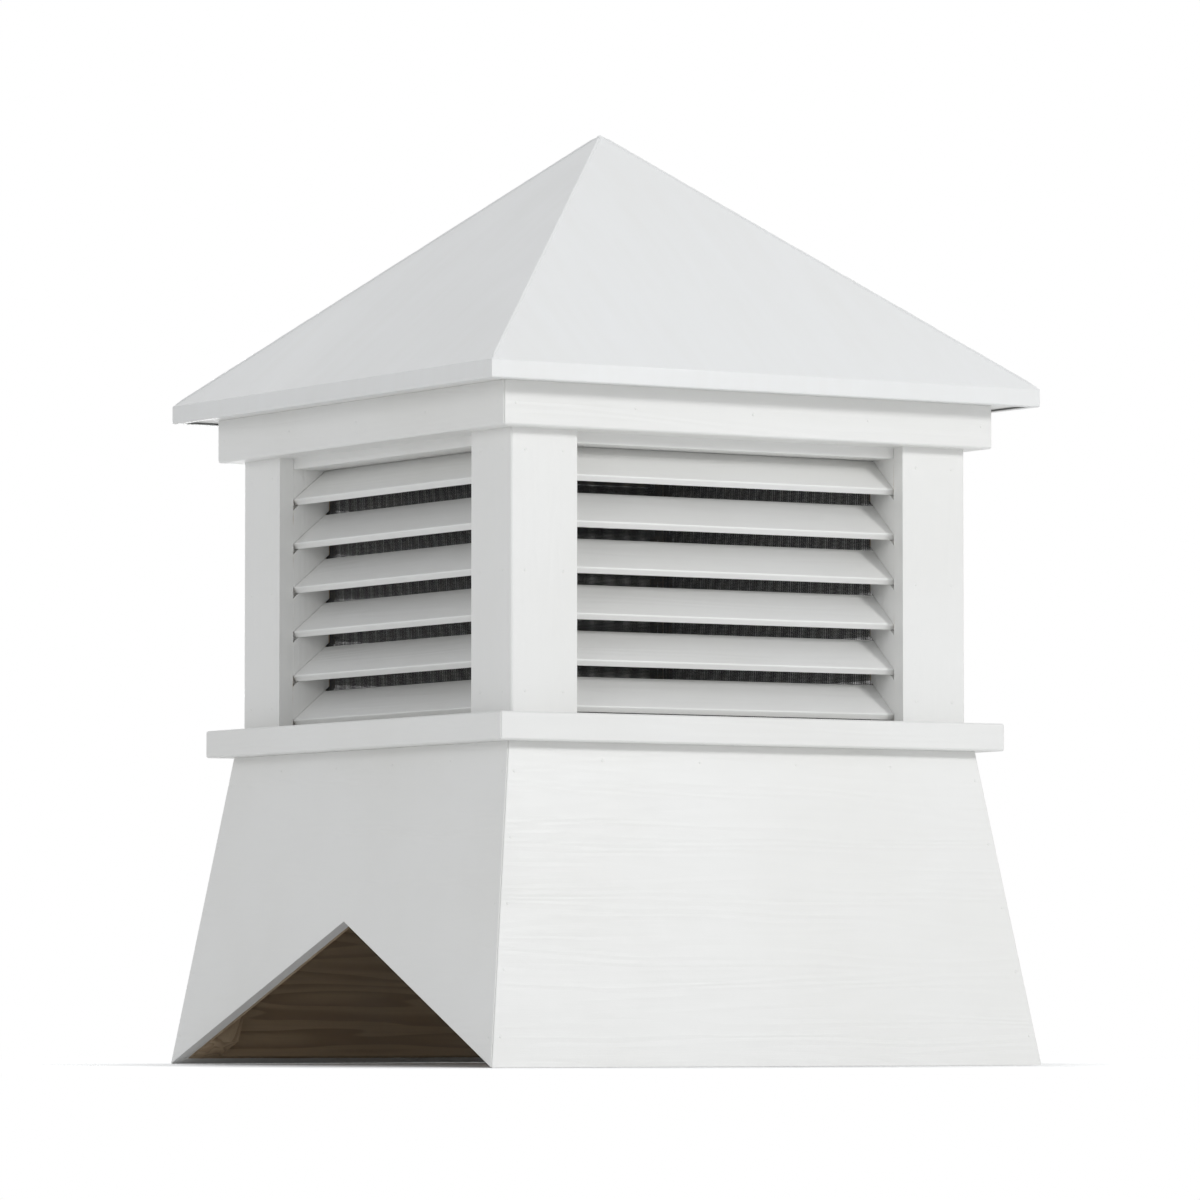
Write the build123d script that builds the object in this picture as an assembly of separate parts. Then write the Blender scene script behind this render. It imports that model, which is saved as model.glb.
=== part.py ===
"""Louvered cupola for the ridge of a garage roof, in millimetres.

The origin is the centre of the base at the level of its lowest edges, +Z is up,
and the garage's ridge runs along X. The front faces -Y.
From the bottom up: a flared base of four mitred boards cut to sit over the ridge,
a mitred sill, four L-shaped corner posts with a bank of fixed louvers between each
pair, a mitred frieze and soffit, and a four-sided sheet metal roof on a plywood deck.
"""

from build123d import *
import os
from math import atan2, cos, radians, sin, tan

# Corner posts
body_width = 632.0  # across the outer faces of two posts
post_face = 89.0  # width of each leg
post_board = 19.0
post_corner_radius = 3.0

# Sill
sill_projection = 34.0  # beyond the posts
sill_board_width = 114.3
sill_thickness = 33.0
kerf_setback = 8.0  # sill's edge to the groove under it that sheds drips
kerf_width = 5.0
kerf_depth = 4.0

# Flared base
sill_overhang = 25.0  # of the sill beyond the top of the base
base_flare = 56.0  # of the base's lower edges beyond its top
base_height = 373.0
base_board = 19.0
saddle_pitch = 24.0  # slope of the garage roof that the base sits over, in degrees
cleat_size = 38.0  # battens inside the base's corners

# Louvers
louver_height = 328.0  # sill to frieze
blade_count = 6
blade_thickness = 9.5
blade_angle = 40.0  # slope of a blade, in degrees
blade_recess = 0.8  # back of the posts to the blades' noses
blade_back_gap = 0.7  # blades to the screen behind them
top_blade_drop = 57.0  # frieze's lower edge to the top blade's lowest edge
bottom_blade_gap = 3.0  # sill to the bottom blade's lowest edge
jamb_board = 19.0
dado_depth = 8.0
head_board = 19.0
head_lap = 12.0  # of the board that closes the top over the rail in front of it
screen_thickness = 1.2

# Frieze and soffit
frieze_board = 24.0
frieze_height = 52.0
soffit_board_width = 114.3
soffit_thickness = 12.0

# Roof
eave_overhang = 41.0  # beyond the frieze
roof_pitch = 40.0  # in degrees
sheet_thickness = 1.0
fold_radius = 1.0  # inside the sheets' folds
drip_edge_height = 21.5
drip_edge_below_soffit = 3.0
hem_width = 9.0
deck_thickness = 12.7

# Fits and eased edges
fit_gap = 0.3  # blades to the sides and floor of their dadoes
corner_gap = 0.2  # between two jambs that meet behind a post
screen_gap = 1.0  # between two screens that meet behind a post
sheet_gap = 0.2  # between the roof sheets and the deck
deck_setback = 0.5  # inside of the folded sheets to the edges of the deck and the soffit
arris_ease = 1.5
trim_ease = 2.0
blade_ease = 1.2

# Levels, from the lowest edges up
sill_top = base_height + sill_thickness
frieze_bottom = sill_top + louver_height
soffit_bottom = frieze_bottom + frieze_height
soffit_top = soffit_bottom + soffit_thickness
drip_bottom = soffit_bottom - drip_edge_below_soffit
eave_top = drip_bottom + drip_edge_height
post_height = soffit_bottom - sill_top

# Distances from the centre line to outer and inner faces
post_half = body_width / 2
post_back = post_half - post_board
opening_half = post_half - post_face
jamb_depth = post_face - post_board - jamb_board - corner_gap
jamb_back = post_back - jamb_depth
screen_back = jamb_back - screen_thickness
sill_half = post_half + sill_projection
base_top_half = sill_half - sill_overhang
base_half = base_top_half + base_flare
base_lean = atan2(base_flare, base_height)
base_wall = base_board / cos(base_lean)  # a board's thickness measured level
frieze_half = post_half + frieze_board
eave_half = frieze_half + eave_overhang
soffit_half = eave_half - sheet_thickness - deck_setback

# A blade fills the jambs' depth, and the blades are evenly spaced
slope = radians(blade_angle)
blade_rise = blade_thickness * sin(slope)  # how far its lowest edge lies behind its nose
blade_width = (jamb_depth - blade_recess - blade_back_gap - blade_rise) / cos(slope)
lowest_blade = sill_top + bottom_blade_gap
highest_blade = frieze_bottom - top_blade_drop
blade_spacing = (highest_blade - lowest_blade) / (blade_count - 1)
blade_levels = [lowest_blade + i * blade_spacing for i in range(blade_count)]

# Longer than any piece, for bars and cutters that run past it
reach = 4 * max(base_half, eave_half)

# Turns about Z that take a front piece to each side, and the front left post to each corner
side_turns = {"front": 0, "right": 90, "back": 180, "left": 270}
corner_turns = {"front_left": 0, "front_right": 90, "back_right": 180, "back_left": 270}


def section_through(*points):
    """A straight-edged face on the Y-Z plane through (Y, Z) points."""
    return Plane.YZ * make_face(Polyline(*points, close=True))


def rounded(section, corners, radius):
    """The section with its corners nearest to these (Y, Z) points rounded."""
    nearest = [section.vertices().sort_by_distance((0, y, z))[0] for y, z in corners]
    return fillet(nearest, radius)


def mitred_front(section):
    """The front member of a square frame: its section run along X and mitred at 45 degrees."""
    bar = extrude(section, reach / 2, both=True)
    sector = make_face(Polyline((0, 0), (reach, -reach), (-reach, -reach), close=True))
    return bar & Pos(0, 0, -reach) * extrude(sector, 3 * reach)


def ease_arrises(member):
    """Chamfers the two upright outer edges where a mitred member meets its neighbours."""

    def upright_on_mitre(edge):
        ends = [edge.position_at(0), edge.position_at(1)]
        on_mitre = all(abs(abs(end.X) - abs(end.Y)) < 1e-4 for end in ends)
        return on_mitre and abs(ends[1].Z - ends[0].Z) > abs(ends[1].X - ends[0].X)

    arrises = member.edges().filter_by(upright_on_mitre).sort_by(Axis.X)
    return chamfer([arrises[0], arrises[-1]], arris_ease)


def trim_member(outer, board_width, bottom, top, ease_top):
    """A mitred board on the front, its lower outer edge eased, and its upper one if asked."""
    corners = [(-outer, bottom), (-outer, top)] if ease_top else [(-outer, bottom)]
    section = Pos(-outer, bottom) * Rectangle(board_width, top - bottom, align=Align.MIN)
    eased = [section.vertices().sort_by_distance((y, z, 0))[0] for y, z in corners]
    return ease_arrises(mitred_front(Plane.YZ * chamfer(eased, trim_ease)))


def sill_side():
    """The front sill board, with the drip groove under its overhang."""
    board = trim_member(sill_half, sill_board_width, base_height, sill_top, True)
    kerf = Pos(kerf_setback - sill_half, base_height) * Rectangle(
        kerf_width, kerf_depth, align=Align.MIN
    )
    return board - mitred_front(Plane.YZ * kerf)


def under_garage_roof():
    """The space under the garage roof's two slopes, which the base is cut to sit over."""
    ridge = base_half * tan(radians(saddle_pitch))
    eave = ridge - reach * tan(radians(saddle_pitch))
    section = section_through(
        (-reach, eave), (0, ridge), (reach, eave), (reach, -reach), (-reach, -reach)
    )
    return extrude(section, reach, both=True)


def base_side():
    """One leaning base board, before it is cut over the ridge."""
    section = section_through(
        (-base_half, 0),
        (base_wall - base_half, 0),
        (base_wall - base_top_half, base_height),
        (-base_top_half, base_height),
    )
    return ease_arrises(mitred_front(section))


def base_cleat():
    """The batten up the base's front left corner, before it is cut over the ridge."""
    bottom = base_wall + cleat_size / 2 - base_half
    top = base_wall + cleat_size / 2 - base_top_half
    foot = Pos(bottom, bottom, 0) * Rectangle(cleat_size, cleat_size)
    head = Pos(top, top, base_height) * Rectangle(cleat_size, cleat_size)
    return loft([foot, head], ruled=True)


def corner_post():
    """The front left post: two legs that meet in an eased corner."""
    leg = Box(post_face, post_board, post_height, align=Align.MIN)
    return_leg = Box(post_board, post_face, post_height, align=Align.MIN)
    post = Pos(-post_half, -post_half, sill_top) * (leg + return_leg)
    corner = post.edges().filter_by(Axis.Z).sort_by_distance((-reach, -reach, 0))[0]
    return fillet(corner, post_corner_radius)


def on_slope(profile, level):
    """Turns a profile drawn along a level blade, whose lowest edge is at 0, 0, to its slope."""
    nose = -post_back + blade_recess + blade_rise
    return Plane.YZ * Pos(nose, level) * Rot(0, 0, blade_angle) * profile


def louver_blades():
    """The sloping blades between the front jambs, their ends housed in the dadoes."""
    profile = Rectangle(blade_width, blade_thickness, align=Align.MIN)
    profile = chamfer(profile.vertices().group_by(Axis.X)[0], blade_ease)
    half_length = opening_half + dado_depth - fit_gap
    return [extrude(on_slope(profile, level), half_length, both=True) for level in blade_levels]


def louver_jambs():
    """The two upright boards behind the front posts, with a slanted dado for each blade."""
    jamb = Pos(opening_half, -post_back, sill_top) * Box(
        jamb_board, jamb_depth, post_height, align=Align.MIN
    )
    jambs = [mirror(jamb, Plane.YZ), jamb]
    groove = Rectangle(blade_width + 2 * jamb_depth, blade_thickness + 2 * fit_gap, align=Align.MIN)
    groove = Pos(-jamb_depth, -fit_gap) * groove
    for level in blade_levels:
        dado = extrude(on_slope(groove, level), opening_half + dado_depth, both=True)
        jambs = [board - dado for board in jambs]
    return jambs


def louver_head():
    """The rail behind the frieze, and the board behind it that closes the gap over the top blade."""
    from_front = (Align.CENTER, Align.MIN, Align.MIN)
    rail = Box(2 * opening_half, head_board, frieze_height, align=from_front)
    top_edge = highest_blade + blade_width * sin(slope) + blade_thickness * cos(slope)
    closer_bottom = top_edge + fit_gap
    closer_height = frieze_bottom + head_lap - closer_bottom
    closer = Box(2 * opening_half, jamb_depth, closer_height, align=from_front)
    return Pos(0, -post_half, frieze_bottom) * rail + Pos(0, -post_back, closer_bottom) * closer


def screen():
    """The insect screen across the backs of the front jambs."""
    return Pos(0, -jamb_back, sill_top) * Box(
        2 * (screen_back - screen_gap),
        screen_thickness,
        post_height,
        align=(Align.CENTER, Align.MIN, Align.MIN),
    )


def below_roof_plane(distance):
    """How far straight down from the roof's outer plane a plane parallel to it lies."""
    return distance / cos(radians(roof_pitch))


def roof_height(half):
    """Height of the roof's outer plane at a distance from the centre line."""
    return eave_top + (eave_half - half) * tan(radians(roof_pitch))


def roof_deck():
    """The front panel of plywood under the roof sheets, its foot cut level on the soffit."""
    top_drop = below_roof_plane(sheet_thickness + sheet_gap)
    bottom_drop = below_roof_plane(sheet_thickness + sheet_gap + deck_thickness)
    foot = eave_half - (soffit_top + bottom_drop - eave_top) / tan(radians(roof_pitch))
    return mitred_front(
        section_through(
            (-soffit_half, soffit_top),
            (-soffit_half, roof_height(soffit_half) - top_drop),
            (0, roof_height(0) - top_drop),
            (0, roof_height(0) - bottom_drop),
            (-foot, soffit_top),
        )
    )


def roof_sheet():
    """The front roof sheet, folded down over the eave and hemmed in below the soffit."""
    drop = below_roof_plane(sheet_thickness)
    inner_half = eave_half - sheet_thickness
    outer_folds = [(-eave_half, drip_bottom), (-eave_half, eave_top)]
    inner_folds = [
        (-inner_half, roof_height(inner_half) - drop),
        (-inner_half, drip_bottom + sheet_thickness),
    ]
    section = section_through(
        (hem_width - eave_half, drip_bottom),
        *outer_folds,
        (0, roof_height(0)),
        (0, roof_height(0) - drop),
        *inner_folds,
        (hem_width - eave_half, drip_bottom + sheet_thickness),
    )
    section = rounded(section, outer_folds, fold_radius + sheet_thickness)
    return mitred_front(rounded(section, inner_folds, fold_radius))


saddle = under_garage_roof()
base = base_side()
cleat = base_cleat()
front_pieces = {
    "sill": sill_side(),
    "louver_jambs": louver_jambs(),
    "louver_head": louver_head(),
    "louver_blades": louver_blades(),
    "screen": screen(),
    "frieze": trim_member(frieze_half, frieze_board, frieze_bottom, soffit_bottom, False),
    "soffit": trim_member(soffit_half, soffit_board_width, soffit_bottom, soffit_top, False),
    "roof_deck": roof_deck(),
    "roof_sheet": roof_sheet(),
}

pieces = {"base_cleats": [Rot(0, 0, turn) * cleat - saddle for turn in corner_turns.values()]}
for side, turn in side_turns.items():
    pieces[f"base_{side}"] = [Rot(0, 0, turn) * base - saddle]
    for name, shape in front_pieces.items():
        solids = shape if isinstance(shape, list) else [shape]
        pieces[f"{name}_{side}"] = [Rot(0, 0, turn) * solid for solid in solids]
for corner, turn in corner_turns.items():
    pieces[f"post_{corner}"] = [Rot(0, 0, turn) * corner_post()]

os.makedirs("parts", exist_ok=True)
for name, solids in pieces.items():
    node = Compound([part for solid in solids for part in solid.solids()])
    export_step(node, f"parts/{name}.step")
    print(name, len(node.solids()), "solids", round(node.volume / 1000), "cm3")
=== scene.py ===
import math

import bpy
from mathutils import Matrix, Vector


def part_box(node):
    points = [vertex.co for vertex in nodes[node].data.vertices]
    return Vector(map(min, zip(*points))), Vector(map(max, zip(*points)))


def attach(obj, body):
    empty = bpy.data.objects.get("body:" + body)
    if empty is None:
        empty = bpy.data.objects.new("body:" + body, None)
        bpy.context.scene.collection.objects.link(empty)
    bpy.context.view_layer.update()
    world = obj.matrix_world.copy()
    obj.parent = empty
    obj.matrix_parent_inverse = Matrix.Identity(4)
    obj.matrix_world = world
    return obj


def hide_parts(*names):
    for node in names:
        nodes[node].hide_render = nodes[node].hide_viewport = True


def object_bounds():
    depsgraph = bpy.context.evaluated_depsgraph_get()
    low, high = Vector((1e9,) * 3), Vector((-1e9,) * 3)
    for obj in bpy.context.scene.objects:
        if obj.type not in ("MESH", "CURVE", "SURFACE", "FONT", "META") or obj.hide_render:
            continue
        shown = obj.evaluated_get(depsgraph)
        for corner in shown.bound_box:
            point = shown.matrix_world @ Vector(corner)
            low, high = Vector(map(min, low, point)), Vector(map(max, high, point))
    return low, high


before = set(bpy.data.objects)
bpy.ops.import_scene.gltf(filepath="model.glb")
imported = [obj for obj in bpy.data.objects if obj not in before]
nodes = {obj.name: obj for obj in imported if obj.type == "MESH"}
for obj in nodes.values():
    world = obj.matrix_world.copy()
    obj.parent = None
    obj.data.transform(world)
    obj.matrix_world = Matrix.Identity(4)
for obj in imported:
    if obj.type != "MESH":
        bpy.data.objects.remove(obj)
cadLow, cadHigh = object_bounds()
print("frame loaded:", len(nodes), "pieces")

# each side is a quarter turn on from the one before it, and so is each corner
sides = ["front", "right", "back", "left"]
corners = ["front_left", "front_right", "back_right", "back_left"]

# the leaning base
base = {
    "foot": cadHigh.x,  # middle to its lowest edge
    "height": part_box("base_front")[1].z,
    "flare": 0.056,
    "board": 0.019,
    "cleat": 0.038,
}
baseLean = base["flare"] / base["height"]  # inwards for each metre up
baseWall = base["board"] * math.hypot(1, baseLean)  # a board's thickness measured level


def baseFace(z):
    # from the middle to the base's outer face at a height
    return base["foot"] - baseLean * z


# node helpers for the materials

def newMaterial(name):
    material = bpy.data.materials.new(name)
    material.use_nodes = True
    tree = material.node_tree
    return material, tree, tree.nodes["Principled BSDF"]


def feed(tree, value, socket):
    # a plain number or colour is set on the socket, anything else is linked to it
    if isinstance(value, (int, float)):
        socket.default_value = value
    elif isinstance(value, tuple):
        socket.default_value = (*value, 1)
    else:
        tree.links.new(value, socket)


def stretched(axis, lengthwise, across):
    return tuple(lengthwise if letter == axis else across for letter in "xyz")


def coords(tree, scale=(1, 1, 1)):
    place = tree.nodes.new("ShaderNodeTexCoord")
    mapping = tree.nodes.new("ShaderNodeMapping")
    mapping.inputs["Scale"].default_value = scale
    tree.links.new(place.outputs["Object"], mapping.inputs["Vector"])
    return mapping.outputs["Vector"]


def noise(tree, pattern, axis="x"):
    # a pattern is features per metre along the axis and across it, then detail and its roughness
    lengthwise, across, detail, roughness = pattern
    node = tree.nodes.new("ShaderNodeTexNoise")
    node.inputs["Scale"].default_value = 1
    node.inputs["Detail"].default_value = detail
    node.inputs["Roughness"].default_value = roughness
    tree.links.new(coords(tree, stretched(axis, lengthwise, across)), node.inputs["Vector"])
    return node.outputs["Fac"]


def maths(tree, operation, *values):
    node = tree.nodes.new("ShaderNodeMath")
    node.operation = operation
    for value, socket in zip(values, node.inputs):
        feed(tree, value, socket)
    return node.outputs[0]


def spread(tree, value, low, high, toLow=0.0, toHigh=1.0, curve="SMOOTHSTEP"):
    # takes a value from one range to another
    node = tree.nodes.new("ShaderNodeMapRange")
    node.interpolation_type = curve
    for number, socket in zip((value, low, high, toLow, toHigh), node.inputs):
        feed(tree, number, socket)
    return node.outputs["Result"]


# a Mix node keeps its sockets for numbers at 2 and 3, and those for colours at 6 and 7
def mixColours(tree, share, first, second):
    node = tree.nodes.new("ShaderNodeMix")
    node.data_type = "RGBA"
    for value, place in ((share, 0), (first, 6), (second, 7)):
        feed(tree, value, node.inputs[place])
    return node.outputs[2]


def mixValues(tree, share, first, second):
    node = tree.nodes.new("ShaderNodeMix")
    for value, place in ((share, 0), (first, 2), (second, 3)):
        feed(tree, value, node.inputs[place])
    return node.outputs[0]


def bump(tree, shader, height, depth):
    node = tree.nodes.new("ShaderNodeBump")
    node.inputs["Distance"].default_value = depth
    tree.links.new(height, node.inputs["Height"])
    tree.links.new(node.outputs["Normal"], shader.inputs["Normal"])


# bare pine

pine = {
    "early": (0.56, 0.42, 0.265),
    "late": (0.36, 0.24, 0.135),
    "weathered": (0.39, 0.335, 0.27),
    "ringShape": (0.9, 12.5, 3, 0.4),
    "rings": 20,  # contour lines of that shape, which make the arches of flat-sawn pine
    "darkening": (0.3, 0.88, 0.0, 1.0),  # through a ring slowly into the late wood
    "ringEnd": (0.93, 1.0, 1.0, 0.0),  # which stops sharply
    "fibres": (7, 1400, 4, 0.6),
    "fibreRange": (0.35, 0.75, 0.0, 0.35),
    "dulling": (4, 4, 3, 0.5),
    "dullRange": (0.3, 0.7, 0.15, 0.45),
    "roughness": 0.72,
    "grainDepth": 0.00022,
}


def grain(tree, axis):
    # the swell of the rings, how far each is into its late wood, and the fibres
    growth = maths(tree, "MULTIPLY", noise(tree, pine["ringShape"], axis), pine["rings"])
    season = maths(tree, "FRACT", growth)
    darkened = spread(tree, season, *pine["darkening"])
    late = maths(tree, "MULTIPLY", darkened, spread(tree, season, *pine["ringEnd"]))
    return maths(tree, "PINGPONG", growth, 0.5), late, noise(tree, pine["fibres"], axis)


def pineColour(tree, late, fibres):
    wood = mixColours(tree, late, pine["early"], pine["late"])
    wood = mixColours(tree, spread(tree, fibres, *pine["fibreRange"]), wood, pine["late"])
    dull = spread(tree, noise(tree, pine["dulling"]), *pine["dullRange"])
    return mixColours(tree, dull, wood, pine["weathered"])


def barePine(axis):
    material, tree, shader = newMaterial("bare_pine_" + axis)
    swell, late, fibres = grain(tree, axis)
    feed(tree, pineColour(tree, late, fibres), shader.inputs["Base Color"])
    shader.inputs["Roughness"].default_value = pine["roughness"]
    bump(tree, shader, maths(tree, "ADD", late, fibres), pine["grainDepth"])
    return material


# white paint, brushed along the boards, with bare pine behind it

paint = {
    "fresh": (0.815, 0.815, 0.80),
    "aged": (0.79, 0.788, 0.768),
    "patches": (3.5, 3.5, 4, 0.55),
    "patchRange": (0.35, 0.7),
    "bristles": (20, 630, 3, 0.6),
    "roughRange": (0.3, 0.7, 0.36, 0.48),
    "brushMark": 0.00006,  # how deep the bristles show
    "grainShow": 0.00024,  # and the growth rings under the paint
    "edge": (45, 45, 3, 0.5),  # the ragged edge where the brush stopped
    "edgeReach": 0.0024,
    "edgeBlur": 0.0003,
    "underBase": 0.0145,  # how far the paint goes in under the base's lower edges
    "shortOfJambs": 0.0013,  # and how far short of the jambs' backs it stops
}
postBack, jambBack = (-corner.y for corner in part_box("louver_jambs_front"))
jambPaint = jambBack + paint["shortOfJambs"]
baseTop = baseFace(base["height"])
# each run of boards, and how near to the middle its paint stops, at its foot and at its top
bareWithin = {
    "base": (base["foot"] - paint["underBase"], baseTop - paint["underBase"]),
    "sill": (baseTop - baseWall / 2, jambPaint),
    "post": (postBack, postBack),
    "louver_jambs": (jambPaint, jambPaint),
    "louver_head": (jambPaint, jambPaint),
    "louver_blades": None,  # painted all over
    "frieze": None,
    "soffit": (postBack, postBack),
}


def bareShare(tree, kind):
    # 1 behind the line where the paint stops, which the brush left ragged
    place = tree.nodes.new("ShaderNodeSeparateXYZ")
    tree.links.new(coords(tree), place.inputs[0])
    fromMiddle = [maths(tree, "ABSOLUTE", place.outputs[letter]) for letter in "XY"]
    low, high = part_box("post_front_left" if kind == "post" else kind + "_front")
    limit = spread(tree, place.outputs["Z"], low.z, high.z, *bareWithin[kind], curve="LINEAR")
    outside = maths(tree, "SUBTRACT", maths(tree, "MAXIMUM", *fromMiddle), limit)
    ragged = maths(tree, "MULTIPLY_ADD", noise(tree, paint["edge"]), paint["edgeReach"], outside)
    edge = paint["edgeReach"] / 2
    return spread(tree, ragged, edge - paint["edgeBlur"], edge + paint["edgeBlur"], 1.0, 0.0)


def paintedWood(kind, axis):
    material, tree, shader = newMaterial("painted_" + kind + "_" + axis)
    swell, late, fibres = grain(tree, axis)
    bristles = noise(tree, paint["bristles"], axis)
    patches = spread(tree, noise(tree, paint["patches"]), *paint["patchRange"])
    colour = mixColours(tree, patches, paint["fresh"], paint["aged"])
    rough = spread(tree, bristles, *paint["roughRange"])
    if bareWithin[kind]:
        bare = bareShare(tree, kind)
        colour = mixColours(tree, bare, colour, pineColour(tree, late, fibres))
        rough = mixValues(tree, bare, rough, pine["roughness"])
    feed(tree, colour, shader.inputs["Base Color"])
    feed(tree, rough, shader.inputs["Roughness"])
    relief = maths(tree, "MULTIPLY_ADD", swell, paint["grainShow"] / paint["brushMark"], bristles)
    bump(tree, shader, relief, paint["brushMark"])
    return material


# white baked paint on thin sheet: a fine orange peel, slow waves and faint rain marks

sheetPaint = {
    "clean": (0.80, 0.807, 0.805),
    "dusty": (0.775, 0.777, 0.765),
    "rain": (50, 5.5, 4, 0.6),  # runs down the slope
    "rainRange": (0.25, 0.8),
    "dust": (4.5, 4.5, 4, 0.6),
    "dustRange": (0.2, 0.8),
    "dustShare": 0.45,
    "roughRange": (0.3, 0.7, 0.30, 0.42),
    "peel": (420, 420, 2, 0.5),
    "peelDepth": 0.00002,
    "waves": (5, 5, 1, 0.4),
    "waveDepth": 0.0011,
}


def paintedSheet(axis):
    material, tree, shader = newMaterial("painted_sheet_" + axis)
    rain = spread(tree, noise(tree, sheetPaint["rain"], axis), *sheetPaint["rainRange"])
    dust = noise(tree, sheetPaint["dust"])
    soiled = mixValues(tree, sheetPaint["dustShare"], rain, spread(tree, dust, *sheetPaint["dustRange"]))
    colour = mixColours(tree, soiled, sheetPaint["clean"], sheetPaint["dusty"])
    feed(tree, colour, shader.inputs["Base Color"])
    feed(tree, spread(tree, dust, *sheetPaint["roughRange"]), shader.inputs["Roughness"])
    waveHeight = sheetPaint["waveDepth"] / sheetPaint["peelDepth"]
    waves = maths(tree, "MULTIPLY", noise(tree, sheetPaint["waves"]), waveHeight)
    relief = maths(tree, "ADD", waves, noise(tree, sheetPaint["peel"]))
    bump(tree, shader, relief, sheetPaint["peelDepth"])
    return material


# dark coated mesh wire, and the plain steel of staples and screws

meshWire = {
    "clean": (0.022, 0.023, 0.025),
    "dusty": (0.06, 0.058, 0.052),
    "pattern": (60, 60, 3, 0.5),
    "colourRange": (0.4, 0.8),
    "roughRange": (0.3, 0.7, 0.4, 0.6),
    "metallic": 0,
}
steel = {
    "clean": (0.55, 0.55, 0.54),
    "dusty": (0.36, 0.33, 0.29),
    "pattern": (700, 700, 3, 0.5),
    "colourRange": (0.4, 0.7),
    "roughRange": (0.3, 0.7, 0.3, 0.5),
    "metallic": 1,
}


def metal(name, look):
    material, tree, shader = newMaterial(name)
    stain = noise(tree, look["pattern"])
    share = spread(tree, stain, *look["colourRange"])
    feed(tree, mixColours(tree, share, look["clean"], look["dusty"]), shader.inputs["Base Color"])
    feed(tree, spread(tree, stain, *look["roughRange"]), shader.inputs["Roughness"])
    shader.inputs["Metallic"].default_value = look["metallic"]
    return material


meshMaterial = metal("screen_wire", meshWire)
steelMaterial = metal("plain_steel", steel)
finishes = {}


def finishFor(kind, axis):
    # made once for each way that its grain runs
    if (kind, axis) not in finishes:
        if kind == "roof_sheet":
            finishes[kind, axis] = paintedSheet(axis)
        elif kind == "pine":
            finishes[kind, axis] = barePine(axis)
        else:
            finishes[kind, axis] = paintedWood(kind, axis)
    return finishes[kind, axis]


def materialFor(name):
    sideAxis = "x" if name.endswith(("front", "back")) else "y"
    if name.startswith("screen"):
        return meshMaterial
    if name.startswith("base_cleats"):
        return finishFor("pine", "z")
    if name.startswith("roof_deck"):
        return finishFor("pine", sideAxis)
    if name.startswith("roof_sheet"):
        return finishFor("roof_sheet", sideAxis)
    kind = next(kind for kind in bareWithin if name.startswith(kind))
    return finishFor(kind, "z" if kind in ("post", "louver_jambs") else sideAxis)


for name, node in nodes.items():
    node.data.materials.clear()
    node.data.materials.append(materialFor(name))
print("materials on")


# softly worn edges on every board, and small bends on the sheets

edges = {
    "wood": 0.0006,
    "thinWood": 0.0005,
    "sheet": 0.00035,
    "segments": 2,
    "sharperThan": 25,  # degrees
    "weld": 0.00001,
}


def easeEdges(node, width):
    weld = node.modifiers.new("weld", "WELD")
    weld.merge_threshold = edges["weld"]
    bevel = node.modifiers.new("ease", "BEVEL")
    bevel.width = width
    bevel.segments = edges["segments"]
    bevel.limit_method = "ANGLE"
    bevel.angle_limit = math.radians(edges["sharperThan"])


def edgeWidth(name):
    if name.startswith("roof_sheet"):
        return edges["sheet"]
    return edges["thinWood"] if name.startswith(("louver_blades", "soffit")) else edges["wood"]


for name, node in nodes.items():
    if not name.startswith("screen"):
        easeEdges(node, edgeWidth(name))
print("edges eased")


# making and placing the small pieces

squarely = 0.9  # the least of a normal along Z that makes a face an end


def selectOnly(piece):
    bpy.ops.object.select_all(action="DESELECT")
    piece.select_set(True)
    bpy.context.view_layer.objects.active = piece


def settle(piece):
    # puts the piece's place, turn and size into its mesh
    selectOnly(piece)
    bpy.ops.object.transform_apply(location=True, rotation=True, scale=True)


def joined(pieces, name):
    selectOnly(pieces[0])
    for piece in pieces:
        piece.select_set(True)
    bpy.ops.object.join()
    whole = bpy.context.object
    whole.name = name
    return whole


def pick(piece, kind, wanted):
    # leaves the piece in edit mode with only the wanted faces or edges selected
    bpy.ops.object.mode_set(mode="EDIT")
    bpy.ops.mesh.select_mode(type=kind)
    bpy.ops.mesh.select_all(action="DESELECT")
    bpy.ops.object.mode_set(mode="OBJECT")
    for element in piece.data.polygons if kind == "FACE" else piece.data.edges:
        element.select = wanted(element)
    bpy.ops.object.mode_set(mode="EDIT")


def copyOf(piece, matrix):
    copy = piece.copy()
    copy.data = piece.data.copy()
    copy.data.transform(matrix)
    bpy.context.collection.objects.link(copy)
    return copy


def quarterTurns(first, names, material, replaced=None):
    # the first piece and its three copies round the middle
    first.data.materials.clear()
    first.data.materials.append(material)
    for count, name in enumerate(names):
        piece = first if count == 0 else copyOf(first, Matrix.Rotation(math.radians(90 * count), 4, "Z"))
        piece.name = name
        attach(piece, "root")
        if replaced:
            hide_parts(replaced[count])


# insect screens: fine wire mesh stapled to the backs of the jambs

screen = {
    "pitch": 0.0016,
    "wire": 0.00062,
    "wireSides": 4,
    "uprightsIn": 0.75,  # wires' widths behind the jambs, to the middle of each layer
    "levelsIn": 1.6,
    "staplesIn": 2.2,
    "stapleCrown": 0.011,
    "stapleThick": 0.0006,
    "stapleWide": 0.0012,
    "stapleRound": 0.00024,
    "stapleEvery": 0.058,
    "stapleInset": 0.007,
}


def addWires(start, length, turn, count, step):
    bpy.ops.object.select_all(action="DESELECT")
    bpy.ops.mesh.primitive_cylinder_add(vertices=screen["wireSides"], radius=screen["wire"] / 2,
                                        depth=length, location=start, rotation=turn)
    wires = bpy.context.object
    settle(wires)
    repeat = wires.modifiers.new("repeat", "ARRAY")
    repeat.count = count
    repeat.use_relative_offset = False
    repeat.use_constant_offset = True
    repeat.constant_offset_displace = step
    bpy.ops.object.modifier_apply(modifier="repeat")
    return wires


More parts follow.
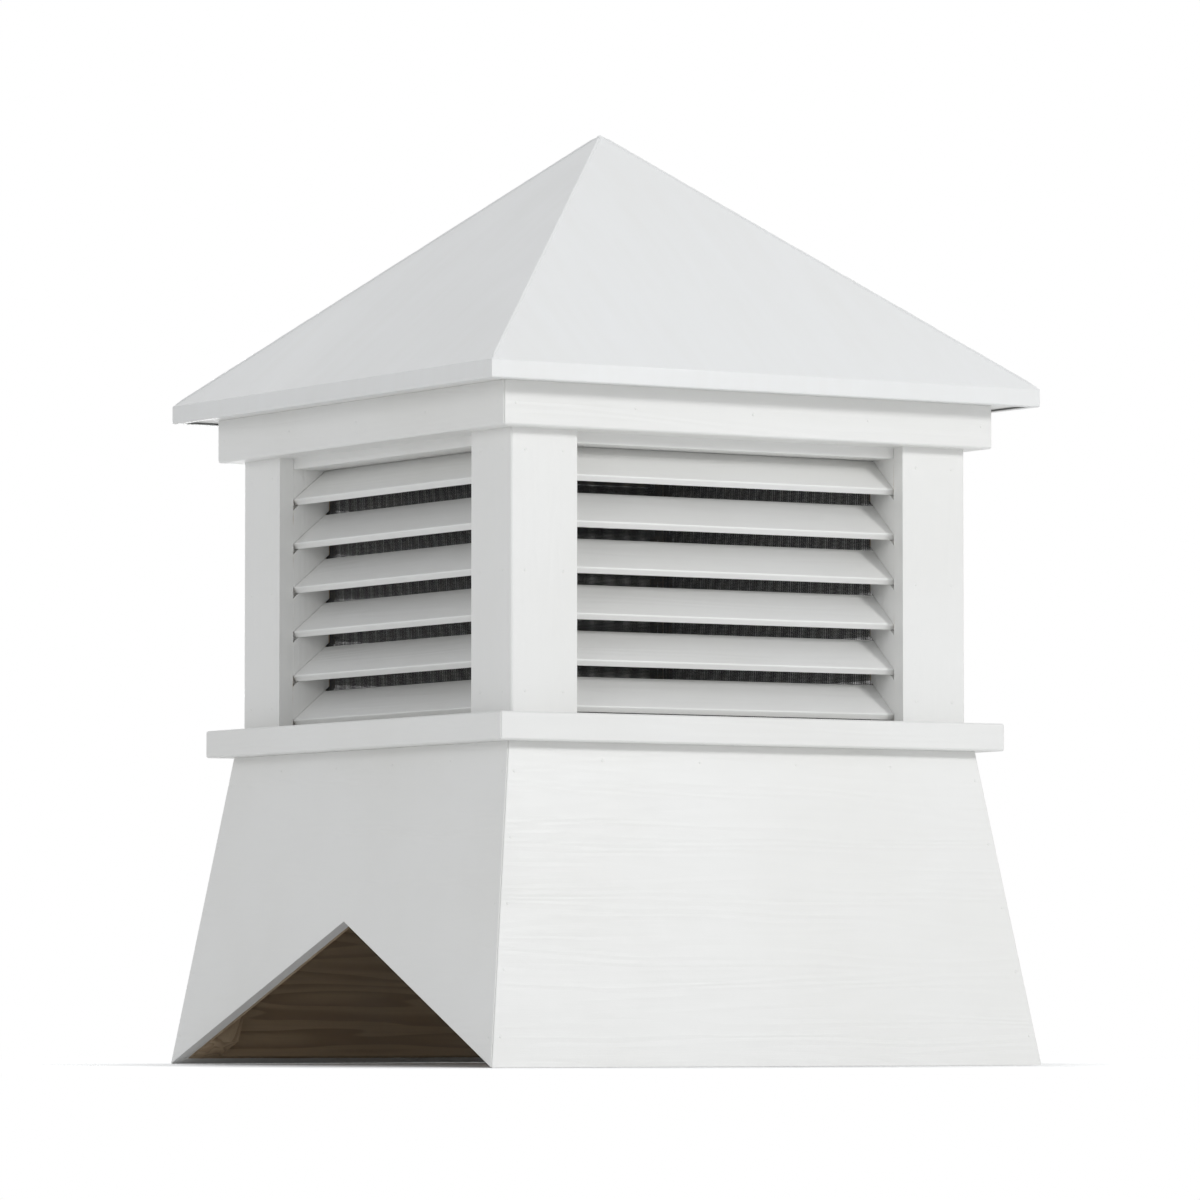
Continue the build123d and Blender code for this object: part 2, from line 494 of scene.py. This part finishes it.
def addStaple(place):
    bpy.ops.object.select_all(action="DESELECT")
    bpy.ops.mesh.primitive_cube_add(size=1, location=(0, 0, 0))
    staple = bpy.context.object
    staple.scale = (screen["stapleWide"], screen["stapleThick"], screen["stapleCrown"])
    settle(staple)
    bpy.ops.object.mode_set(mode="EDIT")
    bpy.ops.mesh.select_all(action="SELECT")
    bpy.ops.mesh.bevel(offset=screen["stapleRound"], segments=1)
    bpy.ops.object.mode_set(mode="OBJECT")
    staple.location = place
    settle(staple)
    return staple


def addMeshes(low, high):
    middle = (low + high) / 2
    wide, tall = high.x - low.x, high.z - low.z
    pitch, thin = screen["pitch"], screen["wire"]
    acrossCount, upCount = int(wide / pitch), int(tall / pitch)
    firstUpright = (middle.x - (acrossCount - 1) * pitch / 2, low.y + thin * screen["uprightsIn"], middle.z)
    firstLevel = (middle.x, low.y + thin * screen["levelsIn"], middle.z - (upCount - 1) * pitch / 2)
    uprights = addWires(firstUpright, tall, (0, 0, 0), acrossCount, (pitch, 0, 0))
    levels = addWires(firstLevel, wide, (0, math.radians(90), 0), upCount, (0, 0, pitch))
    quarterTurns(joined([uprights, levels], "mesh"), ["screen_mesh_" + side for side in sides],
                 meshMaterial, ["screen_" + side for side in sides])


def addStaples(low, high):
    depth = low.y + screen["wire"] * screen["staplesIn"] + screen["stapleThick"] / 2
    tall = high.z - low.z
    rows = round(tall / screen["stapleEvery"])
    staples = []
    for row in range(rows):
        height = low.z + tall * (row + 0.5) / rows
        for x in (low.x + screen["stapleInset"], high.x - screen["stapleInset"]):
            staples.append(addStaple((x, depth, height)))
    quarterTurns(joined(staples, "staples"), ["screen_staples_" + side for side in sides],
                 steelMaterial)


addMeshes(*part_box("screen_front"))
addStaples(*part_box("screen_front"))
print("screens stapled on")


# roof: a soldered bead down each hip and a rounded tip

roof = {
    "half": cadHigh.x,
    "dripEdge": 0.0215,
    "apex": cadHigh.z,
    "beadRadius": 0.0022,
    "beadSides": 10,
    "beadProud": 0.0012,
    "beadTopGap": 0.0035,
    "beadEaveGap": 0.0045,
    "beadCuts": 60,
    "beadWaves": 0.00018,  # how unsteady the hand was
    "beadSeed": 4,
    "beadEnd": 0.5,  # share of its thickness at each end
    "tipRadius": 0.0052,
    "tipSegments": 20,
    "tipRings": 12,
    "tipCut": 1.1,  # radii below the apex
}


def addBead(length):
    # upright, a little unsteady, and drawn out thin at both ends
    bpy.ops.object.select_all(action="DESELECT")
    bpy.ops.mesh.primitive_cylinder_add(vertices=roof["beadSides"], radius=roof["beadRadius"], depth=length)
    bead = bpy.context.object
    points = bead.data.vertices
    pick(bead, "EDGE", lambda edge: points[edge.vertices[0]].co.z * points[edge.vertices[1]].co.z < 0)
    bpy.ops.mesh.subdivide(number_cuts=roof["beadCuts"])
    bpy.ops.mesh.select_all(action="SELECT")
    bpy.ops.transform.vertex_random(offset=roof["beadWaves"], uniform=1.0, normal=0.0, seed=roof["beadSeed"])
    bpy.ops.object.mode_set(mode="OBJECT")
    pick(bead, "FACE", lambda face: abs(face.normal.z) > squarely)
    bpy.ops.transform.resize(value=(roof["beadEnd"], roof["beadEnd"], 1))
    bpy.ops.object.mode_set(mode="OBJECT")
    bpy.ops.object.shade_smooth()
    return bead


def addHipBeads():
    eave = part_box("roof_sheet_front")[0].z + roof["dripEdge"]
    foot = Vector((-roof["half"], -roof["half"], eave))
    hip = Vector((0, 0, roof["apex"])) - foot
    uphill = hip.normalized()
    outward = (Vector((0, 0, 1)) - uphill * uphill.z).normalized()
    length = hip.length - roof["beadTopGap"] - roof["beadEaveGap"]
    bead = addBead(length)
    bead.rotation_mode = "QUATERNION"
    bead.rotation_quaternion = uphill.to_track_quat("Z", "Y")
    bead.location = foot + uphill * (roof["beadEaveGap"] + length / 2)
    bead.location -= outward * (roof["beadRadius"] - roof["beadProud"])
    settle(bead)
    quarterTurns(bead, ["hip_bead_" + corner for corner in corners],
                 finishFor("roof_sheet", "x"))


def addTip():
    radius, apex = roof["tipRadius"], roof["apex"]
    bpy.ops.object.select_all(action="DESELECT")
    bpy.ops.mesh.primitive_uv_sphere_add(segments=roof["tipSegments"], ring_count=roof["tipRings"],
                                         radius=radius, location=(0, 0, apex - radius))
    tip = bpy.context.object
    tip.name = "roof_tip"
    settle(tip)
    bpy.ops.object.mode_set(mode="EDIT")
    bpy.ops.mesh.select_all(action="SELECT")
    bpy.ops.mesh.bisect(plane_co=(0, 0, apex - radius * roof["tipCut"]), plane_no=(0, 0, 1),
                        use_fill=True, clear_inner=True)
    bpy.ops.object.mode_set(mode="OBJECT")
    bpy.ops.object.shade_smooth()
    tip.data.materials.append(finishFor("roof_sheet", "x"))
    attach(tip, "root")


addHipBeads()
addTip()
print("hips sealed")


# nail heads, set, filled and painted over

nails = {
    "radius": 0.0016,
    "sides": 14,
    "proud": 0.00010,
    "inBoard": 0.0006,
    "rings": ((0.45, 0.8), (0.25, 0.2)),  # shares of the radius in and of the proud height up
    "postInset": 0.019,
    "postEnd": 0.025,
    "postRows": 3,
    "friezeInset": 0.015,
    "friezeCount": 5,
    "baseInset": 0.010,
    "baseEnd": 0.035,
    "baseRows": 5,
    "baseTopEnd": 0.021,
    "baseTopHalf": 0.20,
    "baseTopCount": 4,
}


def evenly(low, high, count):
    return [low + (high - low) * step / (count - 1) for step in range(count)]


def addNail(place, lean):
    bpy.ops.object.select_all(action="DESELECT")
    bpy.ops.mesh.primitive_cylinder_add(vertices=nails["sides"], radius=nails["radius"],
                                        depth=nails["inBoard"] + nails["proud"])
    nail = bpy.context.object
    pick(nail, "FACE", lambda face: face.normal.z > squarely)
    for share, rise in nails["rings"]:
        bpy.ops.mesh.inset(thickness=nails["radius"] * share, depth=nails["proud"] * rise)
    bpy.ops.object.mode_set(mode="OBJECT")
    bpy.ops.object.shade_smooth()
    nail.rotation_euler.x = math.radians(90) - math.atan(lean)
    nail.location = place + Vector((0, 1, lean)).normalized() * (nails["inBoard"] - nails["proud"]) / 2
    settle(nail)
    return nail


def nailPlaces():
    # on the front, each with the lean of its board
    places = []
    low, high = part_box("post_front_left")
    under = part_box("frieze_front")[0].z
    for z in evenly(low.z + nails["postEnd"], under - nails["postEnd"], nails["postRows"]):
        for x in (low.x + nails["postInset"], high.x - nails["postInset"]):
            places += [(Vector((side * x, low.y, z)), 0) for side in (1, -1)]
    low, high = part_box("frieze_front")
    reach = -low.x - nails["friezeInset"]
    for x in evenly(-reach, reach, nails["friezeCount"]):
        places.append((Vector((x, low.y, (low.z + high.z) / 2)), 0))
    for z in evenly(nails["baseEnd"], base["height"] - nails["baseEnd"], nails["baseRows"]):
        half = baseFace(z)
        places += [(Vector((side * (half - nails["baseInset"]), -half, z)), baseLean) for side in (1, -1)]
    z = base["height"] - nails["baseTopEnd"]
    for x in evenly(-nails["baseTopHalf"], nails["baseTopHalf"], nails["baseTopCount"]):
        places.append((Vector((x, -baseFace(z), z)), baseLean))
    return places


def addNails():
    heads = joined([addNail(place, lean) for place, lean in nailPlaces()], "nails")
    quarterTurns(heads, ["filled_nails_" + side for side in sides],
                 finishFor("frieze", "x"))


addNails()
print("nails filled")


# screws through the cleats into the base boards, seen from below

screws = {
    "radius": 0.0040,
    "sides": 20,
    "inWood": 0.0012,
    "proud": 0.0003,
    "rim": 0.0009,  # rounded edge of the head
    "socket": 0.0016,
    "socketDepth": 0.0009,
    "heights": (0.075, 0.185, 0.295),
}


def addScrew(place, turn):
    bpy.ops.object.select_all(action="DESELECT")
    bpy.ops.mesh.primitive_cylinder_add(vertices=screws["sides"], radius=screws["radius"],
                                        depth=screws["inWood"], location=(0, 0, -screws["inWood"] / 2))
    screw = bpy.context.object
    settle(screw)
    pick(screw, "FACE", lambda face: face.normal.z > squarely)
    bpy.ops.mesh.inset(thickness=screws["rim"], depth=screws["proud"])
    bpy.ops.mesh.inset(thickness=screws["radius"] - screws["rim"] - screws["socket"])
    bpy.ops.mesh.extrude_region_move(TRANSFORM_OT_translate={"value": (0, 0, -screws["socketDepth"])})
    bpy.ops.object.mode_set(mode="OBJECT")
    screw.rotation_euler = turn
    screw.location = place
    settle(screw)
    return screw


def addCleatScrews():
    tilt = math.radians(90) + math.atan(baseLean)
    heads = []
    for z in screws["heights"]:
        face = baseFace(z) - baseWall - base["cleat"]
        middle = face + base["cleat"] / 2
        heads.append(addScrew((-face, -middle, z), (0, tilt, 0)))
        heads.append(addScrew((-middle, -face, z), (-tilt, 0, 0)))
    quarterTurns(joined(heads, "screws"), ["cleat_screws_" + corner for corner in corners],
                 steelMaterial)


addCleatScrews()
print("cleats screwed")


# camera and light

view = {"azimuth": -31.8, "distance": 8.6, "eye": 0.06, "aim": (0, 0, 0.56), "lens": 214}

# all distances on the floor are from the middle of the cupola
stage = {
    "floorSize": 60,
    "floorColour": (0.90, 0.90, 0.895),
    "floorRough": 0.9,
    "paperWhite": (1.0, 1.0, 1.0),
    "lift": 0.25,  # brings the lit floor up to white round the cupola, so only its shadow shows
    "liftFrom": 0.42,
    "liftTo": 0.70,
    "fadeFrom": 0.80,  # and further out there is plain white
    "fadeTo": 1.50,
    "worldColour": (0.95, 0.97, 1.0),
    "worldStrength": 0.5,
    "lampsAim": (0, 0, 0.6),
}

lamps = {
    "key": {"place": (2.2, -5.6, 2.5), "size": 1.0, "power": 125},
    "fill": {"place": (-5.0, -2.4, 2.0), "size": 2.2, "power": 40},
    "top": {"place": (0.4, 0.6, 7.0), "size": 3.0, "power": 75},
    "back": {"place": (1.8, 5.4, 1.1), "size": 1.8, "power": 75},
}


def addCamera():
    turn = math.radians(view["azimuth"])
    place = Vector((math.sin(turn), -math.cos(turn), 0)) * view["distance"]
    place.z = view["eye"]
    bpy.ops.object.camera_add(location=place)
    camera = bpy.context.object
    look = Vector(view["aim"]) - place
    camera.rotation_euler = look.to_track_quat("-Z", "Y").to_euler()
    camera.data.lens = view["lens"]
    bpy.context.scene.camera = camera


def whiteForCamera(tree, light, white):
    # plain white where it is seen, directly, in a gloss or through glass; it lights the object as before
    path = tree.nodes.new("ShaderNodeLightPath")
    seen = maths(tree, "MAXIMUM", path.outputs["Is Camera Ray"], path.outputs["Is Glossy Ray"])
    seen = maths(tree, "MAXIMUM", seen, path.outputs["Is Transmission Ray"])
    mix = tree.nodes.new("ShaderNodeMixShader")
    tree.links.new(seen, mix.inputs["Fac"])
    tree.links.new(light, mix.inputs[1])
    tree.links.new(white, mix.inputs[2])
    return mix.outputs[0]


def whiteGlow(tree, strength):
    glow = tree.nodes.new("ShaderNodeEmission")
    feed(tree, stage["paperWhite"], glow.inputs["Color"])
    feed(tree, strength, glow.inputs["Strength"])
    return glow.outputs[0]


def addFloor():
    bpy.ops.object.select_all(action="DESELECT")
    bpy.ops.mesh.primitive_plane_add(size=stage["floorSize"])
    floor = bpy.context.object
    floor.name = "floor"
    material, tree, shader = newMaterial("floor_paper")
    feed(tree, stage["floorColour"], shader.inputs["Base Color"])
    shader.inputs["Roughness"].default_value = stage["floorRough"]
    distance = tree.nodes.new("ShaderNodeVectorMath")
    distance.operation = "LENGTH"
    tree.links.new(coords(tree), distance.inputs[0])
    away = distance.outputs["Value"]
    lift = whiteGlow(tree, spread(tree, away, stage["liftFrom"], stage["liftTo"], 0.0, stage["lift"]))
    lifted = tree.nodes.new("ShaderNodeAddShader")
    tree.links.new(shader.outputs[0], lifted.inputs[0])
    tree.links.new(lift, lifted.inputs[1])
    fade = tree.nodes.new("ShaderNodeMixShader")
    tree.links.new(spread(tree, away, stage["fadeFrom"], stage["fadeTo"]), fade.inputs["Fac"])
    tree.links.new(lifted.outputs[0], fade.inputs[1])
    tree.links.new(whiteGlow(tree, 1.0), fade.inputs[2])
    shown = whiteForCamera(tree, shader.outputs[0], fade.outputs[0])
    tree.links.new(shown, tree.nodes["Material Output"].inputs["Surface"])
    floor.data.materials.append(material)


def addWorld():
    world = bpy.data.worlds.new("studio")
    bpy.context.scene.world = world
    world.use_nodes = True
    tree = world.node_tree
    light = tree.nodes["Background"]
    feed(tree, stage["worldColour"], light.inputs["Color"])
    light.inputs["Strength"].default_value = stage["worldStrength"]
    white = tree.nodes.new("ShaderNodeBackground")
    feed(tree, stage["paperWhite"], white.inputs["Color"])
    shown = whiteForCamera(tree, light.outputs[0], white.outputs[0])
    tree.links.new(shown, tree.nodes["World Output"].inputs["Surface"])


def addLamp(name):
    facts = lamps[name]
    bpy.ops.object.light_add(type="AREA", location=facts["place"])
    lamp = bpy.context.object
    lamp.name = name
    lamp.data.size = facts["size"]
    lamp.data.energy = facts["power"]
    look = Vector(stage["lampsAim"]) - Vector(facts["place"])
    lamp.rotation_euler = look.to_track_quat("-Z", "Y").to_euler()


addCamera()
addFloor()
addWorld()
for name in lamps:
    addLamp(name)
print("camera and lights set")

bpy.context.scene.view_settings.view_transform = "Standard"
